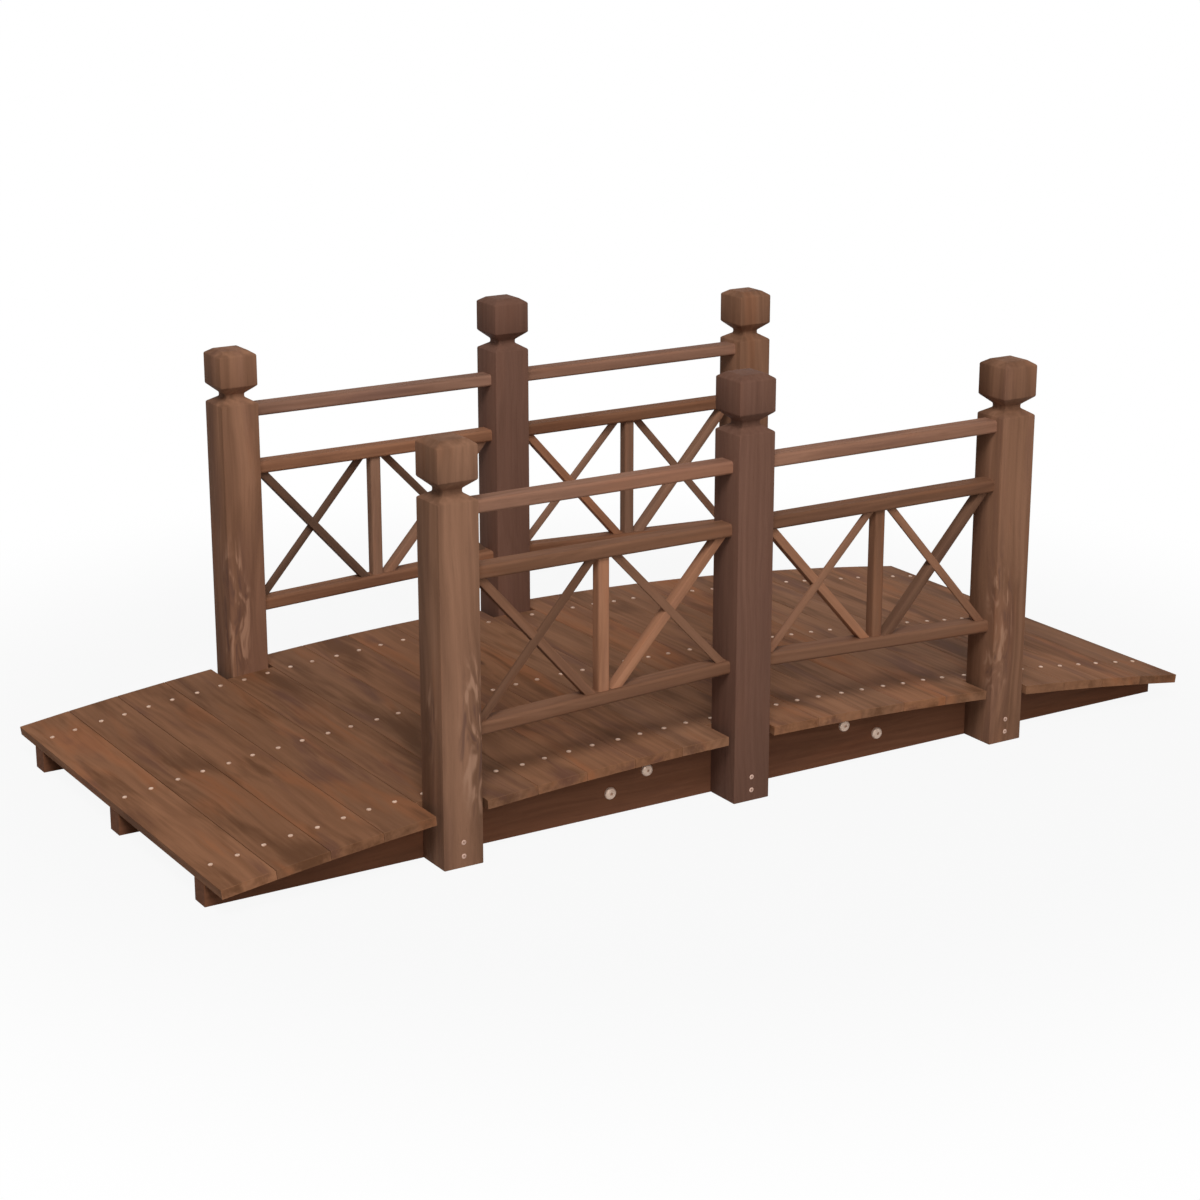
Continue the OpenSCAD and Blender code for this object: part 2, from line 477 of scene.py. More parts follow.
@dataclass(frozen=True)
class Stain:
    """A tone of the brown stain, with the strength of each mark that the grain leaves in it.

    Stray is how far one timber's brightness may differ from the base, and cooler and warmer are how
    far its hue may. Heights are the weights of the marks in the relief.
    """

    base: Rgb
    wood: Softwood
    stray: float = 0.0
    cooler: float = 0.0
    warmer: float = 0.0
    late_share: float = 0.40
    streak: float = 0.55
    fibre: float = 0.55
    ring_depth: float = 0.16
    ring_patches: Step = (0.40, 0.62)
    ring_least: float = 0.15
    feather: float = 0.16
    flame_share: float = 0.60
    cloud_share: float = 0.40
    # Lightening of the edges: partly wear, partly painted highlight
    wear_and_highlight: float = 0.30
    wear_and_highlight_patches: Step = (0.80, 1.15)
    wear_and_highlight_least: float = 0.2
    edge_radius: float = 0.0024
    rough: float = 0.66
    rough_fibre: float = 0.16
    rough_core: float = 0.10
    specular: float = 0.045
    relief: float = 0.0008
    relief_strength: float = 0.28
    year_height: float = 0.12
    fibre_height: float = 0.75
    pore_height: float = 0.45
    core_height: float = 0.4

    def varied(self, name: str, tone: Tone) -> "Stain":
        """Draw the tone of one named timber, the same on every run.

        Args:
            name: The timber's name, which seeds the draw.
            tone: How it took the stain.

        Returns:
            This stain with the timber's own base colour.
        """
        draw = random.Random(name + "_tone")
        brightness, warmth = tone.value
        brightness *= draw.uniform(1 - self.stray, 1 + self.stray)
        warmth += draw.uniform(-self.cooler, self.warmer)
        return replace(self, base=self.tint((brightness * (1 + warmth), brightness,
                                             brightness * (1 - warmth))))

    def tint(self, parts: Triple) -> Rgb:
        """Scale the three channels of the base colour."""
        return tuple(channel * part for channel, part in zip(self.base, parts))

    def lay(self, graph: ShaderGraph, colour: bpy.types.NodeSocket, layer: Layer, level: Value,
            share: Term = 1.0) -> bpy.types.NodeSocket:
        """Mix one mark into the colour.

        Args:
            graph: The material's tree.
            colour: The colour so far.
            layer: The mark.
            level: The number that brings the mark out.
            share: How much of it shows in this stain.

        Returns:
            The colour with the mark in it.
        """
        amount = graph.ease(level, *layer.step) * (layer.share * share)
        return graph.mix(amount, colour, self.tint(layer.tint))

    def colour(self, graph: ShaderGraph, marks: Marks) -> bpy.types.NodeSocket:
        """Mix the stain's colour from the marks of the grain and the lighter edges, which are partly wear
        and partly a painted highlight.

        Args:
            graph: The material's tree.
            marks: The marks of the grain.

        Returns:
            The colour.
        """
        rings = graph.ease(marks.broad, *self.ring_patches, self.ring_least, 1.0) * self.ring_depth
        late = ((marks.streak - NOISE_MEAN) * self.streak + (marks.fibre - NOISE_MEAN) * self.fibre
                + marks.year * rings + self.late_share)
        colour = graph.mix(late, self.tint(EARLY_WOOD), self.tint(LATE_WOOD))

        feather = (marks.fibre - NOISE_MEAN) * self.feather
        colour = self.lay(graph, colour, GLOW, marks.cloud + feather, self.cloud_share)
        colour = self.lay(graph, colour, FLAME, marks.blaze + feather, self.flame_share)
        colour = self.lay(graph, colour, BRUISE, marks.bruise + feather, self.flame_share)
        if marks.curl:
            colour = self.lay(graph, colour, PALE_CURL, marks.curl, marks.ripple)
            colour = self.lay(graph, colour, DARK_CURL, marks.curl, marks.ripple)
        colour = self.lay(graph, colour, PORE, marks.pore)
        colour = graph.mix(marks.core * KNOT.share, colour, self.tint(KNOT.tint))

        # Edges found by the bevel are lightened: partly wear, partly a painted highlight
        eased = graph.node("Bevel", {"samples": 4}, {"Radius": self.edge_radius}).outputs[0]
        flat = graph.node("NewGeometry").outputs["Normal"]
        edge = 1 - graph.measure("DOT_PRODUCT", eased, flat)
        patches = graph.ease(marks.fibre + marks.broad, *self.wear_and_highlight_patches, self.wear_and_highlight_least, 1.0)
        return self.lay(graph, colour, WEAR_AND_HIGHLIGHT, edge, patches * self.wear_and_highlight)

    def timber(self, name: str, centre: Sequence[float], turn: Triple, tone: Tone = Tone.PLAIN
               ) -> bpy.types.Material:
        """Make the finish of one named timber.

        Args:
            name: The timber's name, which seeds its grain and tone.
            centre: Its middle.
            turn: Turn that brings X onto its grain.
            tone: How it took the stain.

        Returns:
            The material.
        """
        graph, material = ShaderGraph.of_material(name + "_stain")
        marks = self.wood.marks(graph, Cut.drawn(name, centre, turn, self.wood.pith))
        height = (marks.year * self.year_height + marks.fibre * self.fibre_height
                  + marks.pore * self.pore_height - marks.core * self.core_height)
        bump = graph.node("Bump", None, {"Strength": self.relief_strength, "Distance": self.relief,
                                         "Height": height})
        rough = (marks.fibre * self.rough_fibre + (self.rough - self.rough_fibre / 2)
                 - marks.core * self.rough_core)
        graph.surface(graph.node("BsdfPrincipled", None, {
            "Base Color": self.varied(name, tone).colour(graph, marks), "Roughness": rough,
            "Normal": bump.outputs[0], "Specular IOR Level": self.specular}))
        return material


@dataclass(frozen=True)
class Steel:
    """Pale plated steel of the nails, screws and bolts."""

    plate: Rgb
    tarnish: Rgb
    metallic: float
    rough: float
    clouds: Pattern = Pattern((130.0, 130.0, 130.0), detail=3.0, roughness=0.6)
    cloud_step: Step = (0.40, 0.72)
    cloud_share: float = 0.7
    scratches: Pattern = Pattern((2600.0, 700.0, 900.0))
    scratch_rough: float = 0.2
    relief: float = 0.0001
    relief_strength: float = 0.15

    def material(self, name: str) -> bpy.types.Material:
        """Make the plated steel, clouded by handling.

        Args:
            name: The material's name.

        Returns:
            The material.
        """
        graph, material = ShaderGraph.of_material(name)
        place = graph.node("TexCoord").outputs["Object"]
        cloud = graph.ease(graph.grey(place, self.clouds), *self.cloud_step) * self.cloud_share
        scratch = graph.grey(place, self.scratches)
        bump = graph.node("Bump", None, {"Strength": self.relief_strength, "Distance": self.relief,
                                         "Height": scratch})
        graph.surface(graph.node("BsdfPrincipled", None, {
            "Base Color": graph.mix(cloud, self.plate, self.tarnish), "Metallic": self.metallic,
            "Roughness": scratch * self.scratch_rough + (self.rough - self.scratch_rough / 2),
            "Normal": bump.outputs[0]}))
        return material


POST_STAIN = Stain(srgb(135, 98, 76),
                   Softwood(pith=0.05, streaks=STREAKS.sized(1.2, 32.0), flames=FLAMES.sized(4.0, 24.0)),
                   stray=0.06, cooler=0.03, warmer=0.03, streak=2.7, ring_depth=0.15, flame_share=0.45)
DARK_POST_STAIN = Stain(srgb(112, 80, 66), Softwood(pith=0.05, knot_share=0.0),
                        stray=0.06, cooler=0.03, warmer=0.03, streak=0.5, ring_depth=0.08,
                        flame_share=0.18, cloud_share=0.15)
# The deck's strong edge lightening is partly a painted highlight that lifts the shade in the gaps between
# boards
DECK_STAIN = Stain(srgb(136, 95, 69),
                   Softwood(pith=0.09, streaks=STREAKS.sized(2.2, 42.0), flames=FLAMES.sized(4.8, 26.0)),
                   stray=0.08, cooler=0.04, warmer=0.05, streak=1.4,
                   flame_share=0.95, cloud_share=0.65, wear_and_highlight=0.60)
STRINGER_STAIN = Stain(srgb(116, 76, 55), Softwood(pith=0.11),
                       streak=0.60, flame_share=0.35, cloud_share=0.25)
RAIL_STAIN = Stain(srgb(128, 90, 68), Softwood(pith=0.04, flames=FLAMES.sized(4.0, 36.0)),
                   stray=0.08, cooler=0.03, warmer=0.04, streak=1.2, flame_share=0.45)
HANDRAIL_STAIN = replace(RAIL_STAIN, base=srgb(142, 105, 86))
LATTICE_STAIN = Stain(srgb(125, 89, 68),
                      Softwood(pith=0.03, flames=FLAMES.sized(7.0, 50.0), knot_share=0.0),
                      stray=0.05, cooler=0.02, warmer=0.02, streak=0.9, flame_share=0.35)
BOLT_STEEL = Steel(srgb(222, 194, 174), srgb(182, 150, 130), metallic=0.40, rough=0.45)
NAIL_STEEL = Steel(srgb(222, 188, 164), srgb(182, 144, 120), metallic=0.35, rough=0.45)
SCREW_STEEL = Steel(srgb(208, 172, 154), srgb(166, 130, 112), metallic=0.35, rough=0.50)


class Bench:
    """Modelling steps that several pieces share."""

    @staticmethod
    def clear() -> None:
        """Leave edit mode and deselect everything."""
        if bpy.context.object and bpy.context.object.mode != "OBJECT":
            bpy.ops.object.mode_set(mode="OBJECT")
        bpy.ops.object.select_all(action="DESELECT")

    @staticmethod
    def take(made: bpy.types.Object) -> None:
        """Select one object alone and make it the active one.

        Args:
            made: The object to work on.
        """
        Bench.clear()
        made.select_set(True)
        bpy.context.view_layer.objects.active = made

    @staticmethod
    def named(name: str) -> bpy.types.Object:
        """Name the object just added and put its place and size into its mesh.

        Args:
            name: The object's name.

        Returns:
            The object.
        """
        bpy.ops.object.transform_apply(location=True, rotation=True, scale=True)
        made = bpy.context.object
        made.name = made.data.name = name
        return made

    @staticmethod
    def block(name: str, size: Triple, centre: Triple = (0.0, 0.0, 0.0)) -> bpy.types.Object:
        """Add a block as the start of a timber.

        Args:
            name: The object's name.
            size: Its three sides.
            centre: Its middle.

        Returns:
            The block.
        """
        Bench.clear()
        bpy.ops.mesh.primitive_cube_add(size=1.0, location=centre, scale=size)
        return Bench.named(name)

    @staticmethod
    def disc(name: str, radius: float, depth: float, sides: int) -> bpy.types.Object:
        """Add an upright round bar, standing on the origin, as the start of a fixing.

        Args:
            name: The object's name.
            radius: Its radius.
            depth: Its height.
            sides: Number of sides.

        Returns:
            The bar.
        """
        Bench.clear()
        bpy.ops.mesh.primitive_cylinder_add(vertices=sides, radius=radius, depth=depth,
                                            location=(0.0, 0.0, depth / 2))
        return Bench.named(name)

    @staticmethod
    def pick_top(made: bpy.types.Object) -> None:
        """Enter edit mode with only the highest level face selected.

        Args:
            made: The object to edit.
        """
        Bench.take(made)
        bpy.ops.object.mode_set(mode="EDIT")
        bpy.ops.mesh.select_mode(type="FACE")
        bpy.ops.mesh.select_all(action="DESELECT")
        bpy.ops.object.mode_set(mode="OBJECT")
        top = max(made.data.polygons, key=lambda face: face.center.z + face.normal.z)
        top.select = True
        bpy.ops.object.mode_set(mode="EDIT")

    @staticmethod
    def raise_top(made: bpy.types.Object, steps: Sequence[Step]) -> None:
        """Draw the top face up in steps and widen or narrow it at each.

        Args:
            made: The object to shape.
            steps: For each step, its height and the scale of its upper outline.
        """
        level = max(corner.co.z for corner in made.data.vertices)
        Bench.pick_top(made)
        for height, scale in steps:
            level += height
            bpy.ops.mesh.extrude_region_move(TRANSFORM_OT_translate={"value": (0.0, 0.0, height)})
            bpy.ops.transform.resize(value=(scale, scale, 1.0), center_override=(0.0, 0.0, level))
        bpy.ops.object.mode_set(mode="OBJECT")

    @staticmethod
    def ease_edges(made: bpy.types.Object, width: float, facets: int, degrees: float = 20.0) -> None:
        """Round every sharp edge with an applied bevel.

        Args:
            made: The object to round.
            width: Width of the bevel.
            facets: Facets across it.
            degrees: Softer edges than this are left.
        """
        Bench.take(made)
        bevel = made.modifiers.new("eased_edges", "BEVEL")
        bevel.width = width
        bevel.segments = facets
        bevel.limit_method = "ANGLE"
        bevel.angle_limit = math.radians(degrees)
        bpy.ops.object.modifier_apply(modifier=bevel.name)

    @staticmethod
    def cut_off(made: bpy.types.Object, point: Triple, outward: Triple) -> None:
        """Saw off all that lies outside a plane, and close the cut.

        Args:
            made: The object to saw.
            point: A point on the plane.
            outward: Direction of the waste side.
        """
        Bench.take(made)
        bpy.ops.object.mode_set(mode="EDIT")
        bpy.ops.mesh.select_all(action="SELECT")
        bpy.ops.mesh.bisect(plane_co=point, plane_no=outward, use_fill=True, clear_outer=True)
        bpy.ops.object.mode_set(mode="OBJECT")

    @staticmethod
    def sink(made: bpy.types.Object, cutter: bpy.types.Object) -> None:
        """Cut one shape out of another and throw the cutter away.

        Args:
            made: The object that keeps the recess.
            cutter: The shape of the recess.
        """
        Bench.take(made)
        recess = made.modifiers.new("recess", "BOOLEAN")
        recess.object = cutter
        recess.operation = "DIFFERENCE"
        recess.solver = "EXACT"
        bpy.ops.object.modifier_apply(modifier=recess.name)
        bpy.data.objects.remove(cutter)

    @staticmethod
    def place(made: bpy.types.Object, where: Sequence[float], turn: Triple = (0.0, 0.0, 0.0)) -> None:
        """Turn and move an object, and put its place into its mesh.

        Args:
            made: The object to place.
            where: Where its origin goes.
            turn: Its turn about X, Y and Z.
        """
        Bench.take(made)
        made.rotation_euler = turn
        made.location = where
        bpy.ops.object.transform_apply(location=True, rotation=True, scale=True)

    @staticmethod
    def copies(model: bpy.types.Object, name: str,
               places: Sequence[tuple[Sequence[float], Triple]]) -> bpy.types.Object:
        """Set copies of a model in their places and join them into one piece.

        Args:
            model: The modelled shape, which is left as it is.
            name: The joined piece's name.
            places: Where each copy goes, and its turn.

        Returns:
            The joined piece.
        """
        made = []
        for where, turn in places:
            Bench.take(model)
            bpy.ops.object.duplicate(linked=False)
            copy = bpy.context.object
            Bench.place(copy, where, turn)
            made.append(copy)
        Bench.clear()
        for copy in made:
            copy.select_set(True)
        bpy.context.view_layer.objects.active = made[0]
        bpy.ops.object.join()
        return Bench.named(name)

    @staticmethod
    def smooth(made: bpy.types.Object, degrees: float = 35.0) -> None:
        """Shade an object smoothly across its soft edges.

        Args:
            made: The object to shade.
            degrees: Sharper edges than this stay sharp.
        """
        Bench.take(made)
        bpy.ops.object.shade_smooth_by_angle(angle=math.radians(degrees))


def dress(made: bpy.types.Object, material: bpy.types.Material) -> None:
    """Give an object one material in place of what it had.

    Args:
        made: The object to dress.
        material: Its finish.
    """
    made.data.materials.clear()
    made.data.materials.append(material)


def mount(made: bpy.types.Object, slot: str, *nodes: str) -> None:
    """Tie a new piece to the frame.

    Args:
        made: The piece.
        slot: The record's material slot for the piece; not used.
        nodes: CAD nodes that it stands for.
    """
    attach(made, BODY)
    if nodes:
        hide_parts(*nodes)
    log.info("%s: %d faces", made.name, len(made.data.polygons))


def middle(node: str) -> Vector:
    """Find the middle of a CAD node's box."""
    low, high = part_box(node)
    return (low + high) / 2


def outer_face(node: str, outward: int) -> float:
    """Find the Y of the face that a CAD node turns to the outside."""
    low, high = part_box(node)
    return low.y if outward < 0 else high.y


def stain_solid(node: str, stain: Stain, grain: Grain, tone: Tone = Tone.PLAIN) -> None:
    """Stain a CAD node that keeps its solid.

    Args:
        node: The node.
        stain: Its stain.
        grain: The way that its grain runs.
        tone: How it took the stain.
    """
    dress(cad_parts[node], stain.timber(node, middle(node), grain.value, tone))
    log.info("%s: stained", node)


@dataclass
class DeckArc:
    """The curve of the deck, with the sizes that the solids have."""

    half_length: float = 0.750
    rise: float = 0.054
    end_height: float = 0.029
    board_depth: float = 0.012
    board_gap: float = 0.0005
    boards: int = 21

    @property
    def radius(self) -> float:
        """Radius of the stringers' tops."""
        return (self.half_length ** 2 + self.rise ** 2) / (2 * self.rise)

    @property
    def pitch(self) -> float:
        """Angle from one board to the next."""
        ends = 2 * math.asin(self.half_length / (self.radius + self.board_depth))
        return (ends + self.board_gap / self.radius) / self.boards

    def on_board(self, board: int, offset: float, across: float) -> tuple[Vector, float]:
        """Find a point on the upper face of a board.

        Args:
            board: The board's number from the left, from 1.
            offset: Distance along the bridge from the board's middle line.
            across: Place across the bridge.

        Returns:
            The point, and the board's tilt about Y.
        """
        tilt = (board - (self.boards + 1) / 2) * self.pitch
        out = self.radius + self.board_depth
        crown = self.end_height + self.rise
        x = out * math.sin(tilt) + offset * math.cos(tilt)
        z = crown - self.radius + out * math.cos(tilt) - offset * math.sin(tilt)
        return Vector((x, across, z)), tilt


@dataclass
class Deck:
    """The deck boards and the stringers under them, which keep their solids."""

    arc: DeckArc
    light_boards: tuple[int, ...] = (1, 19)
    dim_boards: tuple[int, ...] = (2, 3, 4, 5, 6, 7, 8)
    stringers: tuple[str, ...] = ("near", "middle", "far")

    def tone(self, number: int) -> Tone:
        """Pick the tone of a board.

        Args:
            number: The board's number from the left, from 1.

        Returns:
            Its tone.
        """
        if number in self.light_boards:
            return Tone.LIGHT
        return Tone.DIM if number in self.dim_boards else Tone.PLAIN

    def dress(self) -> None:
        """Stain each board and stringer with its own grain."""
        for number in range(1, self.arc.boards + 1):
            stain_solid(f"deck_board_{number:02d}", DECK_STAIN, Grain.ACROSS, self.tone(number))
        for row in self.stringers:
            stain_solid(f"{row}_stringer", STRINGER_STAIN, Grain.ALONG)


@dataclass
class Posts:
    """The six posts, each with a sloped shoulder, a neck, a head and a bevelled cap.

    The end posts have a burl low on the front face, at its left edge or at its right one.
    """

    spots: tuple[str, ...] = ("left", "middle", "right")
    side: float = 0.055
    neck: float = 0.027
    shoulder_height: float = 0.0085
    neck_height: float = 0.005
    flare_height: float = 0.012
    head_height: float = 0.0425
    cap_height: float = 0.0065
    cap_inset: float = 0.010
    eased: float = 0.0013
    eased_facets: int = 2
    soft_degrees: float = 25.0
    burl_height: float = 0.165
    burl_offset: float = 0.020
    burl_right: tuple[str, ...] = ("near_left_post", "far_right_post")

    def model(self, name: str, height: float) -> bpy.types.Object:
        """Shape one post, standing on the origin.

        Args:
            name: The piece's name.
            height: Its height.

        Returns:
            The post.
        """
        steps = [
            (self.shoulder_height, self.neck / self.side),
            (self.neck_height, 1.0),
            (self.flare_height, self.side / self.neck),
            (self.head_height, 1.0),
            (self.cap_height, 1 - 2 * self.cap_inset / self.side),
        ]
        shaft = height - sum(rise for rise, _ in steps)
        made = Bench.block(name, (self.side, self.side, shaft), (0.0, 0.0, shaft / 2))
        Bench.raise_top(made, steps)
        Bench.ease_edges(made, self.eased, self.eased_facets)
        Bench.smooth(made, self.soft_degrees)
        return made

    def swirled(self, node: str, half_height: float) -> Stain:
        """Put a burl on an edge of a post's front face.

        Args:
            node: The post's CAD node.
            half_height: Half of its height.

        Returns:
            The stain of that post.
        """
        way = 1 if node in self.burl_right else -1
        burl = (self.burl_height - half_height, -self.side / 2, -way * self.burl_offset)
        return replace(POST_STAIN, wood=replace(POST_STAIN.wood, burl=burl))

    def build(self) -> None:
        """Set a shaped and stained post in the place of each plain one."""
        for side, _ in SIDES:
            for spot in self.spots:
                node = f"{side}_{spot}_post"
                centre = middle(node)
                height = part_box(node)[1].z
                made = self.model(node + "_timber", height)
                Bench.place(made, (centre.x, centre.y, 0.0))
                in_middle = spot == "middle"
                stain = DARK_POST_STAIN if in_middle else self.swirled(node, height / 2)
                dress(made, stain.timber(node, centre, Grain.UPRIGHT.value))
                mount(made, "middle_post_timber" if in_middle else "post_timber", node)


@dataclass(frozen=True)
class Bar:
    """The section of a baluster or diagonal, and its eased edges.

    Inset is how far a diagonal's middle line ends from the corner that it points to.
    """

    wide: float
    deep: float
    eased: float
    facets: int = 2
    inset: float = 0.0


@dataclass
class Bay:
    """The space between the lower two rails of one bay, which its lattice fills."""

    stem: str
    left: float
    right: float
    across: float
    top: float
    foot_left: float
    foot_right: float

    @classmethod
    def between_rails(cls, stem: str) -> "Bay":
        """Read the space from the solids of the two rails.

        Args:
            stem: The start of the names of the bay's nodes.

        Returns:
            The space.
        """
        low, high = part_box(f"{stem}_mid_rail")
        corners = [corner.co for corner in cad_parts[f"{stem}_bottom_rail"].data.vertices]
        ends = (min(corner.x for corner in corners), max(corner.x for corner in corners))
        near_enough = 1e-4
        feet = [max(corner.z for corner in corners if abs(corner.x - end) < near_enough) for end in ends]
        return cls(stem, low.x, high.x, (low.y + high.y) / 2, low.z, *feet)

    @property
    def centre(self) -> float:
        """X of the bay's middle."""
        return (self.left + self.right) / 2

    @property
    def slope(self) -> float:
        """Rise of the bottom rail for each metre along X."""
        return (self.foot_right - self.foot_left) / (self.right - self.left)

    def foot(self, x: float) -> float:
        """Find the height of the bottom rail's upper face at x."""
        return self.foot_left + (x - self.left) * self.slope

    def saw(self, made: bpy.types.Object) -> None:
        """Saw a bar off at the two rails."""
        Bench.cut_off(made, (self.centre, self.across, self.top), (0.0, 0.0, 1.0))
        Bench.cut_off(made, (self.centre, self.across, self.foot(self.centre)), (self.slope, 0.0, -1.0))


@dataclass
class Railings:
    """The rails, which keep their solids, and the balusters, braces and slats between them.

    A brace falls from the post to the baluster's foot, and the slat that crosses it is let into it.
    """

    rails: Mapping[str, Stain] = field(default_factory=lambda: {
        "handrail": HANDRAIL_STAIN, "mid_rail": RAIL_STAIN, "bottom_rail": RAIL_STAIN})
    bays: tuple[str, ...] = ("left", "right")
    baluster: Bar = Bar(wide=0.016, deep=0.017, eased=0.003, facets=4)
    brace: Bar = Bar(wide=0.0115, deep=0.0145, eased=0.0009, inset=0.0115)
    slat: Bar = Bar(wide=0.0110, deep=0.0040, eased=0.0006, inset=0.0100)
    slat_proud: float = 0.0002
    baluster_spare: float = 1.3
    tones: Mapping[str, Tone] = field(default_factory=lambda: {
        "near_left_baluster": Tone.PALE,
        "near_left_right_brace": Tone.PALE,
        "near_right_left_brace": Tone.PALE,
        "far_right_left_brace": Tone.PALE,
        "near_right_left_slat": Tone.WARM,
        "near_right_right_slat": Tone.WARM,
        "far_left_baluster": Tone.DUSTY_PALE,
        "far_left_right_brace": Tone.DUSTY_PALE,
        "far_right_left_slat": Tone.DUSTY_PALE,
        "far_right_right_brace": Tone.DUSTY_PALE,
        "far_right_baluster": Tone.DUSTY,
        "far_right_right_slat": Tone.DUSTY,
        "far_left_mid_rail": Tone.WARM,
        "near_right_mid_rail": Tone.DARK,
        "near_left_left_slat": Tone.DARK,
        "near_right_right_brace": Tone.DARK,
        "far_left_left_brace": Tone.DARKEST,
        "far_left_left_slat": Tone.DARKEST,
        "far_left_right_slat": Tone.DARKEST,
    })

    def tone(self, name: str) -> Tone:
        """Look up how a rail or bar took the stain."""
        return self.tones.get(name, Tone.PLAIN)

    def set_bar(self, bay: Bay, name: str, bar: Bar, size: Triple, spot: Triple, grain: Triple,
                turn: Triple = (0.0, 0.0, 0.0)) -> None:
        """Model a bar between the rails, stain it and tie it to the frame.

        Args:
            bay: The bay that it stands in.
            name: The piece's name.
            bar: Its kind.
            size: Its three sides before it is sawn off.
            spot: Its middle.
            grain: Turn that brings X onto its grain.
            turn: Its turn about X, Y and Z.
        """
        made = Bench.block(name, size)
        Bench.ease_edges(made, bar.eased, bar.facets)
        Bench.place(made, spot, turn)
        bay.saw(made)
        Bench.smooth(made)
        dress(made, LATTICE_STAIN.timber(name, spot, grain, self.tone(name)))
        mount(made, "lattice_timber", f"{bay.stem}_lattice")

    def set_baluster(self, bay: Bay) -> None:
        """Stand the baluster in the middle of a bay.

        Args:
            bay: The bay.
        """
        foot = bay.foot(bay.centre)
        size = (self.baluster.wide, self.baluster.deep, (bay.top - foot) * self.baluster_spare)
        self.set_bar(bay, f"{bay.stem}_baluster", self.baluster, size,
                     (bay.centre, bay.across, (bay.top + foot) / 2), Grain.UPRIGHT.value)

    def set_diagonal(self, bay: Bay, name: str, bar: Bar, at_top: float, at_foot: float, y: float) -> None:
        """Set a diagonal bar between the rails.

        Args:
            bay: The bay.
            name: The piece's name.
            bar: Its kind.
            at_top: X of its middle line under the upper rail.
            at_foot: X of its middle line on the lower rail.
            y: Its middle across the bridge.
        """
        run, fall = at_foot - at_top, bay.top - bay.foot(at_foot)
        turn = (0.0, math.atan2(fall, run), 0.0)
        self.set_bar(bay, name, bar, (math.hypot(run, fall) + 2 * bar.wide, bar.deep, bar.wide),
                     ((at_top + at_foot) / 2, y, bay.top - fall / 2), turn, turn)

    def fill(self, bay: Bay, outward: int) -> None:
        """Fill one bay with its baluster and two crossed pairs.

        Args:
            bay: The bay.
            outward: The way to the outside along Y.
        """
        self.set_baluster(bay)
        brace, slat = self.brace, self.slat
        slat_y = bay.across + outward * ((brace.deep - slat.deep) / 2 + self.slat_proud)
        for half, post_face, way in (("left", bay.left, 1), ("right", bay.right, -1)):
            baluster_face = bay.centre - way * self.baluster.wide / 2
            self.set_diagonal(bay, f"{bay.stem}_{half}_brace", brace, post_face + way * brace.inset,
                              baluster_face - way * brace.inset, bay.across)
            self.set_diagonal(bay, f"{bay.stem}_{half}_slat", slat, baluster_face - way * slat.inset,
                              post_face + way * slat.inset, slat_y)

    def build(self) -> None:
        """Stain the rails of the four bays and fill the bays."""
        for side, outward in SIDES:
            for half in self.bays:
                stem = f"{side}_{half}"
                for rail, stain in self.rails.items():
                    stain_solid(f"{stem}_{rail}", stain, Grain.ALONG, self.tone(f"{stem}_{rail}"))
                self.fill(Bay.between_rails(stem), outward)


@dataclass(frozen=True)
class Head:
    """The head of a fixing, facing up: a disc whose upper edge is drawn in by steps.

    Each step is a height and the narrowing of the outline there. Base is how far the underside lies
    below the origin.
    """

    radius: float
    depth: float
    steps: tuple[Step, ...]
    base: float
    sides: int
    soft_degrees: float

    def model(self, name: str, *cutters: bpy.types.Object) -> bpy.types.Object:
        """Model the head.

        Args:
            name: The object's name.
            cutters: Shapes of its recess, over a head that stands on the origin.

        Returns:
            The head.
        """
        made = Bench.disc(name, self.radius, self.depth, self.sides)
        Bench.raise_top(made, self.steps)
        for cutter in cutters:
            Bench.sink(made, cutter)
        Bench.place(made, (0.0, 0.0, -self.base))
        Bench.smooth(made, self.soft_degrees)
        return made


